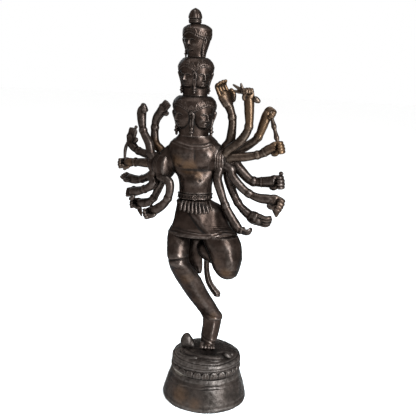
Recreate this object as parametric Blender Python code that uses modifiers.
"""Cast bronze dancing figure: three tiers of heads, sixteen arms, a two-stage round base.

Every casting is its own solid. Round tenons stand in sockets, and every seat keeps one clearance.
The figure is laid out round the base's axis as a viewer in front of it sees it: X runs to the
viewer's right, Y runs away from the viewer, and Z is up. Right and left in names are the
viewer's. The root empty then moves the whole figure so
that its bounding box stands centred on the origin.
"""

import math

import bmesh
import bpy
import numpy as np
from mathutils import Vector

# Clearance of every seat and socket, and the overlap of shapes that are joined
FIT = 0.0003
ROOTED = 0.003

# Two-stage base, from the floor up
DRUM_RADIUS = 0.0570
DRUM_TOP_RADIUS = 0.0465
DRUM_HEIGHT = 0.0420
DRUM_WALL = 0.0060
DRUM_BORE = 0.0340
SPIGOT_DEPTH = 0.0050
CUSHION_RADIUS = 0.0480
CUSHION_HEIGHT = 0.0300
CUSHION_WALL = 0.0060
LOTUS_HEIGHT = 0.0105
LOTUS_WIDTH = 0.0040
TURNED_STEPS = 36

# Heights of the castings that stand on each other
FOOT_HEIGHT = 0.0415
LEG_HEIGHT = 0.1180
SKIRT_HEIGHT = 0.0545
TORSO_HEIGHT = 0.0740
LOWER_TIER_HEIGHT = 0.0510
MIDDLE_TIER_HEIGHT = 0.0480
TOP_TIER_HEIGHT = 0.0405
FINIAL_HEIGHT = 0.0195

# Places across the figure, which sways from the foot to the waist and back to the heads
WAIST_PLACE = (-0.0240, 0.0000)
HEADS_PLACE = (-0.0290, 0.0000)
FOOT_TENON_RADIUS = 0.0040
LEG_TENON_RADIUS = 0.0060
WAIST_TENON_RADIUS = 0.0080
NECK_TENON_RADIUS = 0.0050
TENON_DEPTH = 0.0080

# Belt round the neck of the skirt
WAIST_HALF_WIDTH = 0.0215
WAIST_HALF_DEPTH = 0.0165
BELT_HEIGHT = 0.0070
BELT_THICKNESS = 0.0045
ROSETTE_RADIUS = 0.0045
ROSETTE_HEIGHT = 0.0025
ROSETTE_PIN_RADIUS = 0.0014
TAIL_TENON_RADIUS = 0.0016
TAIL_TENON_DEPTH = 0.0050
ANKLE_TENON_RADIUS = 0.0030
ANKLE_TENON_DEPTH = 0.0060

# Arms, and the shoulder hubs whose rims carry them in a front and a back layer
ARM_RADIUS = 0.0062
ARM_GAP = 0.0013
ARM_TENON_RADIUS = 0.0030
ARM_TENON_DEPTH = 0.0060
HUB_TENON_RADIUS = 0.0040
HUB_TENON_DEPTH = 0.0110
RIGHT_HUB_PLACE = (0.0090, -0.0060)
LEFT_HUB_PLACE = (-0.0720, 0.0100)
RIGHT_HUB_DROP = 0.0290
LEFT_HUB_DROP = 0.0400
RIGHT_HUB_SWING = -10
LEFT_HUB_SWING = 40
FRONT, BACK = 1, -1

# One row an arm, from the top round the hub: layer, lift of its root in degrees, then the length
# and the lift in degrees of each run. A lift of 0 points outwards and 90 points up.
RIGHT_ARMS = (
    (BACK, 80, ((0.008, 50), (0.021, 85), (0.015, 100), (0.019, 115), (0.011, 115), (0.010, 35))),
    (FRONT, 58, ((0.015, 35), (0.020, 60), (0.021, 90), (0.029, 95))),
    (BACK, 38, ((0.015, 25), (0.019, 40), (0.021, 70), (0.015, 70), (0.009, -25))),
    (FRONT, 18, ((0.015, 5), (0.017, 15), (0.013, 30), (0.018, 15))),
    (BACK, -14, ((0.009, -60), (0.020, -40), (0.020, 0), (0.022, 5))),
    (FRONT, -38, ((0.008, -85), (0.023, -45), (0.019, -25), (0.016, -5), (0.018, -20))),
    (BACK, -66, ((0.011, -80), (0.028, -65), (0.021, -45), (0.018, -25), (0.012, 35))),
    (FRONT, -100, ((0.008, -85), (0.031, -70), (0.025, -60), (0.015, -50), (0.011, -10))),
)
LEFT_ARMS = (
    (BACK, 76, ((0.015, 35), (0.026, 90), (0.018, 125), (0.017, 135))),
    (FRONT, 50, ((0.011, 80), (0.020, 55), (0.021, 80), (0.010, 110), (0.008, 175))),
    (BACK, 28, ((0.010, -5), (0.024, 10), (0.016, 40), (0.019, 105))),
    (FRONT, 0, ((0.022, -5), (0.024, -10))),
    (BACK, -32, ((0.010, -50), (0.018, -25), (0.017, -10), (0.020, 5))),
    (FRONT, -62, ((0.010, -110), (0.023, -28), (0.030, -15))),
    (BACK, -92, ((0.014, -55), (0.021, -60), (0.016, -30), (0.024, -10))),
    (FRONT, -120, ((0.015, -165), (0.020, -85), (0.021, -45), (0.025, -30))),
)
# The layers lie side by side, and the rim is as long as the two closest roots of a layer need
ARM_LAYER = ARM_RADIUS + ARM_GAP / 2
HUB_THICKNESS = 2 * (ARM_LAYER + ARM_RADIUS) + ARM_GAP
CLOSEST_ROOTS = 40
HUB_RADIUS = (2 * ARM_RADIUS + ARM_GAP) / (2 * math.sin(math.radians(CLOSEST_ROOTS / 2)))
# Share of the arm's length and share of its root radius: upper arm, bracelet, palm, fingertips
GIRTHS = (
    (0.00, 1.00), (0.20, 0.95), (0.42, 0.84), (0.44, 1.02), (0.49, 1.02), (0.51, 0.84),
    (0.68, 0.94), (0.82, 1.08), (0.94, 1.02), (1.00, 0.70),
)
GRIP = 0.90

# What the hands hold
HELD_RADIUS = 0.0022
SCEPTRE_REACH = 0.0170
SCEPTRE_LIFT = -28
SPIKE_RADIUS = 0.0062
SPIKE_LENGTH = 0.0130
SPIKE_STEM = 0.0070
BLADE_LENGTH = 0.0140
KNOB_LENGTH = 0.0045
STAFF_OVERHANG = 0.0130

# Level oval sections, as rows of: share of the height, centre x, centre y, half width, half depth
FOOT_SECTIONS = (
    (0.00, 0.0010, -0.0060, 0.0090, 0.0130),
    (0.18, 0.0020, -0.0050, 0.0105, 0.0135),
    (0.40, 0.0034, -0.0010, 0.0122, 0.0130),
    (0.70, 0.0054, 0.0020, 0.0128, 0.0125),
    (1.00, 0.0062, 0.0040, 0.0128, 0.0120),
)
LEG_SECTIONS = (
    (0.00, 0.0065, 0.0040, 0.0140, 0.0130),
    (0.05, 0.0040, 0.0030, 0.0146, 0.0130),
    (0.13, -0.0025, 0.0000, 0.0152, 0.0130),
    (0.35, -0.0196, -0.0090, 0.0164, 0.0140),
    (0.50, -0.0290, -0.0170, 0.0170, 0.0150),
    (0.62, -0.0345, -0.0230, 0.0172, 0.0155),
    (0.70, -0.0364, -0.0260, 0.0175, 0.0160),
    (0.78, -0.0380, -0.0260, 0.0185, 0.0165),
    (0.86, -0.0382, -0.0210, 0.0190, 0.0165),
    (1.00, -0.0386, -0.0080, 0.0180, 0.0160),
)
RAISED_LEG_DROP = 0.0530
RAISED_LEG_TENON_PLACE = (0.0100, -0.0160)
RAISED_LEG_SECTIONS = (
    (0.00, 0.0235, -0.0300, 0.0040, 0.0040),
    (0.05, 0.0230, -0.0300, 0.0090, 0.0100),
    (0.20, 0.0212, -0.0300, 0.0160, 0.0160),
    (0.38, 0.0206, -0.0300, 0.0195, 0.0185),
    (0.60, 0.0202, -0.0290, 0.0212, 0.0195),
    (0.80, 0.0190, -0.0260, 0.0208, 0.0190),
    (1.00, 0.0160, -0.0220, 0.0190, 0.0170),
)
SKIRT_SECTIONS = (
    (0.00, -0.0112, -0.0090, 0.0450, 0.0300),
    (0.08, -0.0115, -0.0085, 0.0445, 0.0300),
    (0.25, -0.0138, -0.0050, 0.0385, 0.0270),
    (0.50, -0.0160, -0.0020, 0.0335, 0.0230),
    (0.72, -0.0190, 0.0000, 0.0290, 0.0205),
)
TORSO_SECTIONS = (
    (0.00, -0.0235, 0.0000, 0.0214, 0.0165),
    (0.13, -0.0240, 0.0000, 0.0216, 0.0160),
    (0.26, -0.0240, 0.0000, 0.0238, 0.0175),
    (0.40, -0.0250, 0.0000, 0.0300, 0.0190),
    (0.58, -0.0260, 0.0000, 0.0345, 0.0190),
    (0.76, -0.0265, 0.0000, 0.0350, 0.0180),
    (0.86, -0.0270, 0.0000, 0.0310, 0.0165),
    (0.93, -0.0265, 0.0000, 0.0260, 0.0160),
    (1.00, -0.0270, 0.0000, 0.0210, 0.0155),
)
# The folded calf runs from behind the raised knee to the foot tucked against the standing thigh
CALF_ROUTE = ((0.0180, -0.0200, 0.0310), (0.0040, -0.0060, 0.0200), (-0.0100, 0.0030, 0.0130))
CALF_RADII = (0.0110, 0.0110, 0.0085)
TUCKED_FOOT_GAP = 0.0025
TUCKED_FOOT_LENGTH = 0.0570
TUCKED_FOOT_SECTIONS = (
    (0.00, -0.0120, 0.0080, 0.0040, 0.0030),
    (0.22, -0.0150, 0.0080, 0.0090, 0.0045),
    (0.50, -0.0165, 0.0080, 0.0120, 0.0055),
    (0.78, -0.0165, 0.0070, 0.0115, 0.0070),
    (0.94, -0.0155, 0.0060, 0.0095, 0.0065),
    (1.00, -0.0150, 0.0060, 0.0060, 0.0045),
)
TAIL_ABOVE_ANKLE = 0.0250
TAIL_SECTIONS = (
    (0.00, 0.0125, 0.0130, 0.0030, 0.0022),
    (0.08, 0.0080, 0.0145, 0.0065, 0.0026),
    (0.18, 0.0025, 0.0150, 0.0055, 0.0028),
    (0.35, -0.0020, 0.0150, 0.0042, 0.0028),
    (0.70, -0.0020, 0.0150, 0.0042, 0.0028),
    (1.00, 0.0020, 0.0150, 0.0050, 0.0032),
)
# Share of the tier's height, half width, half depth
LOWER_TIER = (
    (0.00, 0.0185, 0.0165), (0.16, 0.0200, 0.0180), (0.40, 0.0232, 0.0215), (0.62, 0.0262, 0.0245),
    (0.80, 0.0278, 0.0265), (0.90, 0.0262, 0.0245), (1.00, 0.0205, 0.0195),
)
MIDDLE_TIER = (
    (0.00, 0.0160, 0.0150), (0.20, 0.0162, 0.0150), (0.42, 0.0185, 0.0175), (0.64, 0.0218, 0.0205),
    (0.82, 0.0222, 0.0205), (0.93, 0.0185, 0.0175), (1.00, 0.0140, 0.0135),
)
TOP_TIER = (
    (0.00, 0.0115, 0.0115), (0.10, 0.0120, 0.0120), (0.28, 0.0140, 0.0145), (0.52, 0.0168, 0.0170),
    (0.74, 0.0182, 0.0180), (0.90, 0.0168, 0.0165), (1.00, 0.0095, 0.0095),
)
FINIAL = ((0.00, 0.0076, 0.0076), (0.37, 0.0084, 0.0084), (0.68, 0.0070, 0.0070),
          (0.88, 0.0045, 0.0045), (1.00, 0.0012, 0.0012))
# A face is a rounded mass set out from the tier's axis: half width, half depth, half height
FACE_SIZE = (0.0115, 0.0090, 0.0165)
LOWER_FACES = (-52, 38, 128, 218)
MIDDLE_FACES = (-38, 32, 180)
TOP_FACES = (-28,)

# Reclining figure under the foot
FIGURE_RADIUS = 0.0250
FIGURE_GIRTH = 0.0080
FIGURE_KNEE = 0.0200
FIGURE_START, FIGURE_END = 170, 340

BRONZE = (0.050, 0.042, 0.036)
BASE_BRONZE = (0.095, 0.082, 0.070)

UP = Vector((0, 0, 1))


def clear_scene():
    """Remove what the startup file holds."""
    for obj in list(bpy.data.objects):
        bpy.data.objects.remove(obj, do_unlink=True)


def new_collection(name):
    """A collection under the scene's own."""
    collection = bpy.data.collections.new(name)
    bpy.context.scene.collection.children.link(collection)
    return collection


clear_scene()
PARTS = new_collection("dancing_figure")
TOOLS = new_collection("cutters")
ROOT = bpy.data.objects.new("figure_root", None)
PARTS.objects.link(ROOT)


def bronze(name, colour=BRONZE, roughness=0.42):
    """Dark patinated bronze."""
    material = bpy.data.materials.new(name)
    material.use_nodes = True
    shader = material.node_tree.nodes["Principled BSDF"]
    shader.inputs["Base Color"].default_value = (*colour, 1)
    shader.inputs["Metallic"].default_value = 0.85
    shader.inputs["Roughness"].default_value = roughness
    return material


def add_part(name, data, colour=BRONZE):
    """Put a casting in the figure's collection, with its own bronze."""
    part = bpy.data.objects.new(name, data)
    data.materials.append(bronze(f"{name}_bronze", colour))
    if isinstance(data, bpy.types.Mesh):
        data.shade_smooth()
        data.set_sharp_from_angle(angle=math.radians(40))
    PARTS.objects.link(part)
    part.parent = ROOT
    return part


def add_tool(name, data):
    """Put a cutter or a joined shape where no render shows it."""
    tool = bpy.data.objects.new(name, data)
    tool.hide_render = True
    tool.display_type = "WIRE"
    TOOLS.objects.link(tool)
    tool.parent = ROOT
    return tool


def combine(part, tool, operation):
    """Join a shape to a part, or cut it away, with a live Boolean."""
    modifier = part.modifiers.new(tool.name, "BOOLEAN")
    modifier.operation = operation
    modifier.object = tool
    modifier.solver = "EXACT"


def turn_towards(obj, direction):
    """Turn an object's own Z axis to a direction."""
    obj.rotation_mode = "QUATERNION"
    obj.rotation_quaternion = direction.to_track_quat("Z", "Y")


def rod(name, start, end, radius, sides=16):
    """A hidden round rod from one point to another."""
    mesh = bpy.data.meshes.new(name)
    bm = bmesh.new()
    bmesh.ops.create_cone(
        bm, cap_ends=True, segments=sides, radius1=radius, radius2=radius,
        depth=(end - start).length,
    )
    bm.to_mesh(mesh)
    bm.free()
    tool = add_tool(name, mesh)
    tool.location = (start + end) / 2
    turn_towards(tool, end - start)
    return tool


def peg(owner, host, seat, direction, radius, depth):
    """Give the owner a round tenon, and the host the socket that it stands in."""
    root = seat - direction * ROOTED
    tenon = rod(f"{owner.name}_tenon_{host.name}", root, seat + direction * depth, radius)
    combine(owner, tenon, "UNION")
    bottom = seat + direction * (depth + FIT)
    socket = rod(f"{host.name}_socket_{owner.name}", root, bottom, radius + FIT)
    combine(host, socket, "DIFFERENCE")


def ring_loft(name, base, height, sections, sides=20):
    """Closed skin over level oval sections, each a row of height share, centre, half width and depth."""
    rows = np.array(sections)
    angles = np.linspace(0, math.tau, sides, endpoint=False)
    x = rows[:, 1:2] + rows[:, 3:4] * np.cos(angles)
    y = rows[:, 2:3] + rows[:, 4:5] * np.sin(angles)
    z = np.repeat(base + height * rows[:, :1], sides, axis=1)
    points = np.stack([x, y, z], axis=-1).reshape(-1, 3)
    faces = [tuple(reversed(range(sides)))]
    for ring in range(len(rows) - 1):
        low = ring * sides
        for side in range(sides):
            after = (side + 1) % sides
            faces.append((low + side, low + after, low + sides + after, low + sides + side))
    faces.append(tuple(range((len(rows) - 1) * sides, len(rows) * sides)))
    mesh = bpy.data.meshes.new(name)
    mesh.from_pydata(points.tolist(), [], faces)
    return mesh


def turned(name, profile, colour=BRONZE):
    """A casting turned about the base's axis from a closed profile of radius and height."""
    mesh = bpy.data.meshes.new(name)
    points = [(radius, 0, height) for radius, height in profile]
    edges = [(index, (index + 1) % len(points)) for index in range(len(points))]
    mesh.from_pydata(points, edges, [])
    part = add_part(name, mesh, colour)
    screw = part.modifiers.new("turn", "SCREW")
    screw.steps = TURNED_STEPS
    screw.render_steps = TURNED_STEPS
    screw.use_merge_vertices = True
    screw.merge_threshold = 0.00001
    screw.use_smooth_shade = False
    return part


def finished_mesh(obj):
    """The object's evaluated shape, with its loose caps welded."""
    graph = bpy.context.evaluated_depsgraph_get()
    mesh = bpy.data.meshes.new_from_object(obj.evaluated_get(graph))
    bm = bmesh.new()
    bm.from_mesh(mesh)
    bmesh.ops.remove_doubles(bm, verts=bm.verts, dist=0.000001)
    bm.to_mesh(mesh)
    bm.free()
    return mesh


def grown(part, gap=FIT):
    """A hidden copy of a casting, larger all round, that cuts a seat for it."""
    bpy.context.view_layer.update()
    tool = add_tool(f"{part.name}_grown_{len(TOOLS.objects)}", finished_mesh(part))
    tool.location = part.location
    tool.rotation_mode = part.rotation_mode
    tool.rotation_quaternion = part.rotation_quaternion
    # Moving points along their normals moves a square edge's faces by less, so it goes further
    grow = tool.modifiers.new("grow", "DISPLACE")
    grow.strength = gap * 1.6
    grow.mid_level = 0
    return tool


# Levels of the seats between the castings
BASE_TOP = DRUM_HEIGHT + CUSHION_HEIGHT
ANKLE = BASE_TOP + FOOT_HEIGHT
HEM = ANKLE + LEG_HEIGHT
WAIST = HEM + SKIRT_HEIGHT
NECK = WAIST + TORSO_HEIGHT
LOWER_TOP = NECK + LOWER_TIER_HEIGHT
MIDDLE_TOP = LOWER_TOP + MIDDLE_TIER_HEIGHT
TOP_TOP = MIDDLE_TOP + TOP_TIER_HEIGHT


def pedestal_drum():
    """Flared lower stage: a hollow casting, open below, with a flange that the cushion drops into."""
    inner = DRUM_RADIUS - DRUM_WALL
    flange = DRUM_HEIGHT - DRUM_WALL
    profile = (
        (DRUM_BORE, DRUM_HEIGHT),
        (DRUM_TOP_RADIUS - 0.001, DRUM_HEIGHT),
        (DRUM_TOP_RADIUS, DRUM_HEIGHT - 0.001),
        (DRUM_TOP_RADIUS * 0.6 + DRUM_RADIUS * 0.4, DRUM_HEIGHT * 0.72),
        (DRUM_TOP_RADIUS * 0.25 + DRUM_RADIUS * 0.75, DRUM_HEIGHT * 0.42),
        (DRUM_RADIUS, DRUM_HEIGHT * 0.12),
        (DRUM_RADIUS, 0),
        (inner, 0),
        (inner, DRUM_HEIGHT * 0.12),
        (DRUM_TOP_RADIUS - DRUM_WALL, flange),
        (DRUM_BORE, flange),
    )
    return turned("pedestal_drum", profile, BASE_BRONZE)


def pedestal_cushion():
    """Domed upper stage: a shell with a spigot below and a hole on its axis for the foot's tenon."""
    seat = DRUM_HEIGHT + FIT
    lotus_top = seat + LOTUS_HEIGHT + FIT
    core = CUSHION_RADIUS - LOTUS_WIDTH
    spigot = DRUM_BORE - FIT
    cavity = spigot - CUSHION_WALL * 0.5
    hole = FOOT_TENON_RADIUS + FIT
    rim = BASE_TOP - (BASE_TOP - lotus_top) * 0.42
    profile = (
        (hole, BASE_TOP),
        (CUSHION_RADIUS * 0.30, BASE_TOP - 0.0003),
        (CUSHION_RADIUS * 0.60, BASE_TOP - 0.0016),
        (CUSHION_RADIUS * 0.82, BASE_TOP - 0.0040),
        (CUSHION_RADIUS * 0.95, rim),
        (CUSHION_RADIUS, rim - 0.0040),
        (CUSHION_RADIUS, lotus_top + 0.0020),
        (CUSHION_RADIUS - 0.0015, lotus_top),
        (core, lotus_top),
        (core, seat),
        (spigot, seat),
        (spigot, seat - SPIGOT_DEPTH),
        (cavity, seat - SPIGOT_DEPTH),
        (cavity, BASE_TOP - CUSHION_WALL * 2),
        (cavity * 0.7, BASE_TOP - CUSHION_WALL * 1.2),
        (hole, BASE_TOP - CUSHION_WALL),
    )
    return turned("pedestal_cushion", profile, BASE_BRONZE)


def lotus_band():
    """Ring of lotus petals, held between the drum and the cushion's overhang."""
    seat = DRUM_HEIGHT + 2 * FIT
    top = seat + LOTUS_HEIGHT - FIT
    inner = CUSHION_RADIUS - LOTUS_WIDTH + FIT
    outer = CUSHION_RADIUS - 0.0006
    profile = (
        (inner, top),
        (outer - 0.0010, top),
        (outer, (seat + top) / 2),
        (outer - 0.0016, seat),
        (inner, seat),
    )
    return turned("lotus_band", profile, BASE_BRONZE)


def section_part(name, base, height, sections, sides=20):
    """A casting lofted over level oval sections."""
    return add_part(name, ring_loft(name, base, height, sections, sides))


def place(sections, offset, axis):
    """Sections moved so that they stand about an axis."""
    return tuple((share, axis[0] + offset[0], axis[1] + offset[1], width, depth)
                 for share, width, depth in sections)


def face_mass(name, tier_axis, height, turn, reach):
    """One face's rounded mass, turned to look out from the tier."""
    mesh = bpy.data.meshes.new(name)
    bm = bmesh.new()
    bmesh.ops.create_uvsphere(bm, u_segments=14, v_segments=9, radius=1)
    half_width, half_depth, half_height = FACE_SIZE
    bmesh.ops.scale(bm, verts=bm.verts, vec=(half_width, half_depth, half_height))
    bm.to_mesh(mesh)
    bm.free()
    tool = add_tool(name, mesh)
    angle = math.radians(turn)
    tool.rotation_euler = (0, 0, angle)
    tool.location = (
        tier_axis[0] + reach * math.sin(angle),
        tier_axis[1] - reach * math.cos(angle),
        height,
    )
    return tool


def head_tier(name, base, height, sections, faces, reach, size=1.0):
    """A tier of heads on one neck: a crowned core with a rounded mass for each face."""
    seat = base + FIT
    body = place(sections, (0, 0), HEADS_PLACE)
    part = section_part(name, seat, height - FIT, body, sides=18)
    middle = base + height * 0.52
    for index, turn in enumerate(faces):
        # A turn of 0 faces the viewer, and a positive one turns towards +X
        mass = face_mass(f"{name}_face_{index}", HEADS_PLACE, middle, turn, reach)
        mass.scale = (size, size, size)
        combine(part, mass, "UNION")
    return part


def hub_frame(place_xy, drop, swing, side):
    """A hub's centre, its outward direction, and the direction of its front face."""
    centre = Vector((place_xy[0], place_xy[1], NECK - drop))
    angle = math.radians(swing)
    outward = Vector((side * math.cos(angle), math.sin(angle), 0))
    front = Vector((side * math.sin(angle), -math.cos(angle), 0))
    if front.y > 0:
        front = -front
    return centre, outward, front


def shoulder_hub(name, frame):
    """Thick disc with rounded rims that gathers the eight arms of one side."""
    centre, _, front = frame
    mesh = bpy.data.meshes.new(name)
    bm = bmesh.new()
    bmesh.ops.create_cone(
        bm, cap_ends=True, segments=28, radius1=HUB_RADIUS, radius2=HUB_RADIUS,
        depth=HUB_THICKNESS,
    )
    bm.to_mesh(mesh)
    bm.free()
    part = add_part(name, mesh)
    part.location = centre
    turn_towards(part, front)
    bevel = part.modifiers.new("rounded_rims", "BEVEL")
    bevel.width = 0.004
    bevel.segments = 2
    bevel.limit_method = "ANGLE"
    return part


def arm_route(frame, row):
    """Control points of one arm, from the hub's rim to the fingertips."""
    centre, outward, front = frame
    layer, root_lift, runs = row

    def heading(lift):
        angle = math.radians(lift)
        return outward * math.cos(angle) + UP * math.sin(angle)

    rim = centre + front * (ARM_LAYER * layer) + heading(root_lift) * HUB_RADIUS
    points = [rim]
    for length, lift in runs:
        points.append(points[-1] + heading(lift) * length)
    points[0] = rim - heading(root_lift) * ROOTED
    return points, rim, heading(root_lift)


def smooth_route(points, per_run=8):
    """Points of a smooth curve through the control points, close together."""
    ends = [points[0] * 2 - points[1], *points, points[-1] * 2 - points[-2]]
    knots = np.array([tuple(point) for point in ends])
    t = np.linspace(0, 1, per_run, endpoint=False)[None, :, None]
    a, b, c, d = (knots[i:len(knots) - 3 + i, None, :] for i in range(4))
    curve = 0.5 * (
        2 * b + (c - a) * t + (2 * a - 5 * b + 4 * c - d) * t**2 + (3 * b - a - 3 * c + d) * t**3
    )
    return np.vstack([curve.reshape(-1, 3), knots[-2]])


def along(route, share):
    """The point that lies a share of the way along a route."""
    steps = np.linalg.norm(np.diff(route, axis=0), axis=1)
    length = np.concatenate([[0], np.cumsum(steps)])
    return Vector([float(np.interp(share * length[-1], length, route[:, axis])) for axis in range(3)])


def tube(name, points, radii, hidden=False):
    """A capped tube through points, with its own radius at each."""
    curve = bpy.data.curves.new(name, "CURVE")
    curve.dimensions = "3D"
    curve.bevel_depth = 1
    curve.bevel_resolution = 3
    curve.use_fill_caps = True
    spline = curve.splines.new("POLY")
    spline.points.add(len(points) - 1)
    for point, place_xyz, radius in zip(spline.points, points, radii):
        point.co = (*place_xyz, 1)
        point.radius = radius
    guide = add_tool(f"{name}_guide", curve)
    bpy.context.view_layer.update()
    mesh = finished_mesh(guide)
    mesh.transform(guide.matrix_world)
    bpy.data.objects.remove(guide, do_unlink=True)
    if hidden:
        return add_tool(name, mesh)
    return add_part(name, mesh)


def arm(name, frame, row, hub, seats):
    """One arm with its bracelet and hand, cut to what it lies against, its tenon in the hub."""
    points, rim, heading = arm_route(frame, row)
    route = smooth_route(points)
    stations = [along(route, share) for share, _ in GIRTHS]
    radii = [ARM_RADIUS * girth for _, girth in GIRTHS]
    part = tube(name, stations, radii)
    for seat in seats:
        combine(part, seat, "DIFFERENCE")
    peg(part, hub, rim, -heading, ARM_TENON_RADIUS, ARM_TENON_DEPTH)
    return part, route


def held(name, points, radii, hands):
    """A thing held through or in a hand, and the holes that the hands keep for it."""
    part = tube(name, points, radii)
    hole = tube(f"{name}_hole", points, [radius + FIT * 1.3 for radius in radii], hidden=True)
    for hand in hands:
        combine(hand, hole, "DIFFERENCE")
    return part


def sceptre(arms, frame):
    """Double-ended sceptre through the second right hand."""
    hand, route = arms[1]
    grip = along(route, GRIP)
    angle = math.radians(SCEPTRE_LIFT)
    axis = frame[1] * math.cos(angle) + UP * math.sin(angle)
    shares = (-1.0, -0.85, -0.45, 0.45, 0.65, 0.95, 1.0)
    swell = (1.0, 2.0, 1.0, 1.0, 1.9, 1.1, 0.6)
    points = [grip + axis * SCEPTRE_REACH * share for share in shares]
    return held("sceptre", points, [HELD_RADIUS * size for size in swell], [hand])


def mace_rod(arms):
    """Rod that runs from the third right hand down into the fourth."""
    top = along(arms[2][1], GRIP)
    bottom = along(arms[3][1], GRIP)
    axis = (bottom - top).normalized()
    points = [top - axis * 0.001, top + axis * 0.010, bottom - axis * 0.010, bottom + axis * 0.001]
    radii = [HELD_RADIUS * 0.9, HELD_RADIUS * 0.9, HELD_RADIUS * 1.1, HELD_RADIUS * 1.1]
    return held("mace_rod", points, radii, [arms[2][0], arms[3][0]])


def hand_spike(arms):
    """Pointed cone hanging from the sixth right hand, on a stem that stands in the fist."""
    grip = along(arms[5][1], GRIP)
    shoulder = grip - UP * SPIKE_STEM
    tip = shoulder - UP * SPIKE_LENGTH
    points = [grip, shoulder + UP * 0.0002, shoulder - UP * 0.0005, tip]
    radii = [HELD_RADIUS, HELD_RADIUS, SPIKE_RADIUS, 0.0008]
    return held("hand_spike", points, radii, [arms[5][0]])


def knob(name, arms, index):
    """Small knob that stands up from a fist."""
    grip = along(arms[index][1], GRIP)
    top = grip + UP * (ARM_RADIUS + KNOB_LENGTH)
    points = [grip, top - UP * KNOB_LENGTH * 0.5, top]
    radii = [HELD_RADIUS * 0.8, HELD_RADIUS * 0.8, HELD_RADIUS * 1.1]
    return held(name, points, radii, [arms[index][0]])


def short_blade(arms, frame):
    """Short blade pointing down from the seventh left hand."""
    grip = along(arms[6][1], GRIP)
    axis = (-UP - frame[1] * 0.45).normalized()
    points = [grip, grip + axis * ARM_RADIUS, grip + axis * (ARM_RADIUS + BLADE_LENGTH)]
    radii = [HELD_RADIUS, HELD_RADIUS * 1.6, HELD_RADIUS * 0.4]
    return held("short_blade", points, radii, [arms[6][0]])


def bow_staff(arms, frame):
    """Bent staff through the third left hand, ending below the fourth."""
    upper = along(arms[2][1], GRIP)
    lower = along(arms[3][1], GRIP)
    outward = frame[1]
    bend = (upper + lower) / 2 + outward * 0.006
    top = upper + (UP * 0.85 - outward * 0.6).normalized() * STAFF_OVERHANG
    bottom = lower - UP * STAFF_OVERHANG * 0.8
    route = smooth_route([top, upper, bend, lower, bottom], per_run=3)
    points = [Vector(point) for point in route]
    return held("bow_staff", points, [HELD_RADIUS] * len(points), [arms[2][0], arms[3][0]])


def reclining_figure(cushion, foot):
    """Small figure lying round the front of the foot, one knee up, bedded on the cushion's dome."""
    level = BASE_TOP + 0.0005
    turns = np.radians(np.linspace(FIGURE_START, FIGURE_END, 9))
    points = [
        Vector((FIGURE_RADIUS * 1.15 * math.cos(turn), FIGURE_RADIUS * math.sin(turn), level))
        for turn in turns
    ]
    radii = [FIGURE_GIRTH * share for share in (0.6, 0.8, 0.8, 0.75, 0.85, 0.95, 0.8, 0.7, 0.5)]
    part = tube("reclining_figure", points, radii)
    foot_of_knee = Vector((-FIGURE_RADIUS * 1.12, 0, level))
    knee = tube(
        "raised_knee",
        [foot_of_knee - UP * 0.002, foot_of_knee + UP * FIGURE_KNEE * 0.6, foot_of_knee + UP * FIGURE_KNEE],
        [FIGURE_GIRTH, FIGURE_GIRTH * 0.75, FIGURE_GIRTH * 0.3],
        hidden=True,
    )
    combine(part, knee, "UNION")
    combine(part, grown(cushion), "DIFFERENCE")
    combine(part, grown(foot), "DIFFERENCE")
    part.data.materials[0] = bronze("reclining_figure_bronze", BASE_BRONZE)
    return part


def standing_foot(cushion):
    """Foot on tiptoe, whose tenon goes down through the cushion."""
    base = BASE_TOP + FIT
    foot = section_part("standing_foot", base, FOOT_HEIGHT - FIT, FOOT_SECTIONS)
    depth = CUSHION_WALL + FIT
    stem = rod(
        "standing_foot_tenon", Vector((0, 0, base + ROOTED)), Vector((0, 0, base - depth)),
        FOOT_TENON_RADIUS,
    )
    combine(foot, stem, "UNION")
    return foot


def skirt_with_neck():
    """Flared skirt with a narrower neck that the belt goes round."""
    share = 1 - BELT_HEIGHT / SKIRT_HEIGHT
    step = share - 0.004
    neck_width = WAIST_HALF_WIDTH - BELT_THICKNESS * 0.5
    neck_depth = WAIST_HALF_DEPTH - BELT_THICKNESS * 0.5
    x, y = WAIST_PLACE
    sections = SKIRT_SECTIONS + (
        (step, x, y, WAIST_HALF_WIDTH + 0.003, WAIST_HALF_DEPTH + 0.0025),
        (share, x, y, neck_width, neck_depth),
        (1.0, x, y, neck_width, neck_depth),
    )
    return section_part("skirt", HEM, SKIRT_HEIGHT, sections, sides=28)


def belt_ring():
    """Belt round the skirt's neck, resting on its step."""
    x, y = WAIST_PLACE
    base = WAIST - BELT_HEIGHT + FIT
    outer_width = WAIST_HALF_WIDTH + BELT_THICKNESS * 0.5
    outer_depth = WAIST_HALF_DEPTH + BELT_THICKNESS * 0.5
    sections = ((0, x, y, outer_width, outer_depth), (1, x, y, outer_width, outer_depth))
    ring = section_part("belt", base, BELT_HEIGHT - FIT, sections, sides=28)
    neck_width = WAIST_HALF_WIDTH - BELT_THICKNESS * 0.5 + FIT
    neck_depth = WAIST_HALF_DEPTH - BELT_THICKNESS * 0.5 + FIT
    opening = ((-0.5, x, y, neck_width, neck_depth), (1.5, x, y, neck_width, neck_depth))
    hole = add_tool("belt_opening", ring_loft("belt_opening", base, BELT_HEIGHT, opening, 28))
    combine(ring, hole, "DIFFERENCE")
    return ring


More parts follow.
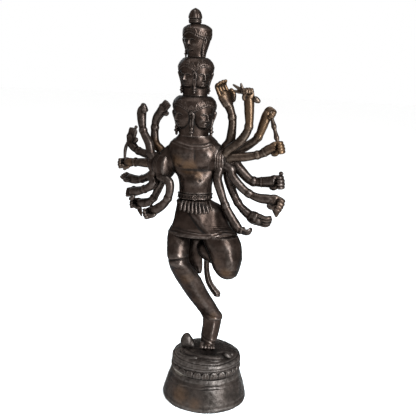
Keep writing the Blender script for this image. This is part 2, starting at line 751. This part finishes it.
def belt_rosette(belt, skirt_seat):
    """Round boss on the front of the belt, with a pin into it."""
    x, y = WAIST_PLACE
    front = y - WAIST_HALF_DEPTH - BELT_THICKNESS * 0.5 - FIT
    level = WAIST - BELT_HEIGHT * 0.5
    outward = Vector((0, -1, 0))
    seat = Vector((x, front, level))
    points = [seat, seat + outward * ROSETTE_HEIGHT * 0.5, seat + outward * ROSETTE_HEIGHT]
    boss = tube("belt_rosette", points, [ROSETTE_RADIUS, ROSETTE_RADIUS, ROSETTE_RADIUS * 0.55])
    pin_end = seat - outward * BELT_THICKNESS * 0.5
    pin = rod("rosette_pin", seat + outward * 0.001, pin_end, ROSETTE_PIN_RADIUS)
    combine(boss, pin, "UNION")
    hole = rod(
        "rosette_hole", seat + outward * 0.001, pin_end - outward * FIT, ROSETTE_PIN_RADIUS + FIT
    )
    combine(belt, hole, "DIFFERENCE")
    combine(boss, skirt_seat, "DIFFERENCE")


def pleat_fan(skirt_seat):
    """Fan of pleats: a thin apron bedded on the skirt's front under the belt."""
    sections = (
        (0.00, -0.0130, -0.0215, 0.0150, 0.0060),
        (0.35, -0.0165, -0.0205, 0.0165, 0.0055),
        (0.75, -0.0200, -0.0175, 0.0160, 0.0055),
        (1.00, -0.0220, -0.0165, 0.0130, 0.0050),
    )
    height = SKIRT_HEIGHT * 0.45
    base = WAIST - BELT_HEIGHT - height
    apron = section_part("pleat_fan", base, height - 0.002, sections)
    combine(apron, skirt_seat, "DIFFERENCE")
    return apron


def build_base():
    """Drum, cushion, lotus band, foot and reclining figure."""
    pedestal_drum()
    cushion = pedestal_cushion()
    lotus_band()
    foot = standing_foot(cushion)
    reclining_figure(cushion, foot)
    return foot


def folded_leg():
    """Raised thigh and knee, with the calf folded back behind them."""
    base = HEM - FIT - RAISED_LEG_DROP
    leg = section_part("raised_leg", base, RAISED_LEG_DROP, RAISED_LEG_SECTIONS)
    points = [Vector((x, y, HEM - drop)) for x, y, drop in CALF_ROUTE]
    combine(leg, tube("folded_calf", points, CALF_RADII, hidden=True), "UNION")
    return leg, points


def tucked_foot(leg, calf_points):
    """Foot of the folded leg, hanging beside the standing thigh, pinned to the end of the calf."""
    base = HEM - TUCKED_FOOT_GAP - TUCKED_FOOT_LENGTH
    foot = section_part("raised_foot", base, TUCKED_FOOT_LENGTH, TUCKED_FOOT_SECTIONS, sides=16)
    foot_seat = grown(foot)
    combine(leg, foot_seat, "DIFFERENCE")
    ankle = calf_points[-1]
    direction = (ankle - calf_points[-2]).normalized()
    seat = ankle - direction * ANKLE_TENON_DEPTH
    reach = ANKLE_TENON_DEPTH * 1.5
    peg(leg, foot, seat, direction, ANKLE_TENON_RADIUS, reach)


def build_legs_and_skirt(foot):
    """Both legs, the skirt they hang from, and what hangs with them."""
    leg = section_part("standing_leg", ANKLE + FIT, LEG_HEIGHT - FIT * 2, LEG_SECTIONS)
    ankle_seat = Vector((FOOT_SECTIONS[-1][1], FOOT_SECTIONS[-1][2], ANKLE + FIT))
    peg(leg, foot, ankle_seat, -UP, LEG_TENON_RADIUS, TENON_DEPTH)
    raised, calf_points = folded_leg()
    tucked_foot(raised, calf_points)
    drop = LEG_HEIGHT - TAIL_ABOVE_ANKLE
    tail = section_part("sash_tail", HEM - FIT - drop, drop, TAIL_SECTIONS, sides=12)
    skirt = skirt_with_neck()
    skirt_seat = grown(skirt)
    hung = (
        (leg, LEG_SECTIONS[-1][1:3], LEG_TENON_RADIUS, TENON_DEPTH),
        (raised, RAISED_LEG_TENON_PLACE, LEG_TENON_RADIUS, TENON_DEPTH),
        (tail, TAIL_SECTIONS[-1][1:3], TAIL_TENON_RADIUS, TAIL_TENON_DEPTH),
    )
    for part, centre, radius, depth in hung:
        peg(part, skirt, Vector((*centre, HEM - FIT)), UP, radius, depth)
    belt = belt_ring()
    belt_rosette(belt, skirt_seat)
    pleat_fan(skirt_seat)
    return skirt, skirt_seat


def build_torso(skirt):
    """Torso on its waist tenon, and the seat it leaves for what lies against it."""
    torso = section_part("torso", WAIST + FIT, TORSO_HEIGHT - FIT, TORSO_SECTIONS, sides=28)
    torso_seat = grown(torso)
    seat = Vector((*WAIST_PLACE, WAIST + FIT))
    peg(torso, skirt, seat, -UP, WAIST_TENON_RADIUS, TENON_DEPTH)
    return torso, torso_seat


def build_heads(torso):
    """Three tiers of heads and the finial, each on the tenon of the casting below."""
    lower = head_tier("lower_heads", NECK, LOWER_TIER_HEIGHT, LOWER_TIER, LOWER_FACES, 0.0185)
    middle = head_tier(
        "middle_heads", LOWER_TOP, MIDDLE_TIER_HEIGHT, MIDDLE_TIER, MIDDLE_FACES, 0.0135, 0.92
    )
    top = head_tier("top_head", MIDDLE_TOP, TOP_TIER_HEIGHT, TOP_TIER, TOP_FACES, 0.0085, 0.88)
    bud = place(FINIAL, (-0.0035, 0), HEADS_PLACE)
    finial = section_part("crown_finial", TOP_TOP + FIT, FINIAL_HEIGHT - FIT, bud, sides=16)
    stack = ((torso, lower, NECK), (lower, middle, LOWER_TOP), (middle, top, MIDDLE_TOP),
             (top, finial, TOP_TOP))
    for below, above, level in stack:
        seat = Vector((*HEADS_PLACE, level))
        peg(below, above, seat, UP, NECK_TENON_RADIUS, TENON_DEPTH)


def build_side(side_name, frame, rows, torso, seats):
    """One shoulder hub with its eight arms, bedded in the torso's side."""
    hub = shoulder_hub(f"shoulder_hub_{side_name}", frame)
    hub_seat = grown(hub)
    combine(torso, hub_seat, "DIFFERENCE")
    centre, outward, _ = frame
    inner_rim = centre - outward * HUB_RADIUS
    anchor = inner_rim - outward * ROOTED * 2
    tenon = rod(
        f"torso_tenon_{side_name}", anchor, inner_rim + outward * HUB_TENON_DEPTH, HUB_TENON_RADIUS
    )
    combine(torso, tenon, "UNION")
    socket = rod(
        f"torso_socket_{side_name}", anchor, inner_rim + outward * (HUB_TENON_DEPTH + FIT),
        HUB_TENON_RADIUS + FIT,
    )
    combine(hub, socket, "DIFFERENCE")
    return [
        arm(f"arm_{side_name}_{index}", frame, row, hub, (hub_seat, *seats))
        for index, row in enumerate(rows, 1)
    ]


def centre_on_origin():
    """Move the root so that the figure's bounding box stands centred on the origin."""
    bpy.context.view_layer.update()
    graph = bpy.context.evaluated_depsgraph_get()
    corners = []
    for part in PARTS.objects:
        if part.type == "MESH":
            shape = part.evaluated_get(graph)
            corners += [tuple(shape.matrix_world @ Vector(corner)) for corner in shape.bound_box]
    corners = np.array(corners)
    middle = (corners.min(axis=0) + corners.max(axis=0)) / 2
    ROOT.location = (-float(middle[0]), -float(middle[1]), 0)


def main():
    """Build the figure from the base up."""
    foot = build_base()
    skirt, skirt_seat = build_legs_and_skirt(foot)
    torso, torso_seat = build_torso(skirt)
    build_heads(torso)
    right_frame = hub_frame(RIGHT_HUB_PLACE, RIGHT_HUB_DROP, RIGHT_HUB_SWING, 1)
    left_frame = hub_frame(LEFT_HUB_PLACE, LEFT_HUB_DROP, LEFT_HUB_SWING, -1)
    seats = (skirt_seat, torso_seat)
    right = build_side("right", right_frame, RIGHT_ARMS, torso, seats)
    left = build_side("left", left_frame, LEFT_ARMS, torso, seats)
    sceptre(right, right_frame)
    mace_rod(right)
    hand_spike(right)
    knob("thumb_knob", right, 4)
    bow_staff(left, left_frame)
    short_blade(left, left_frame)
    knob("small_stick", left, 7)
    centre_on_origin()


main()
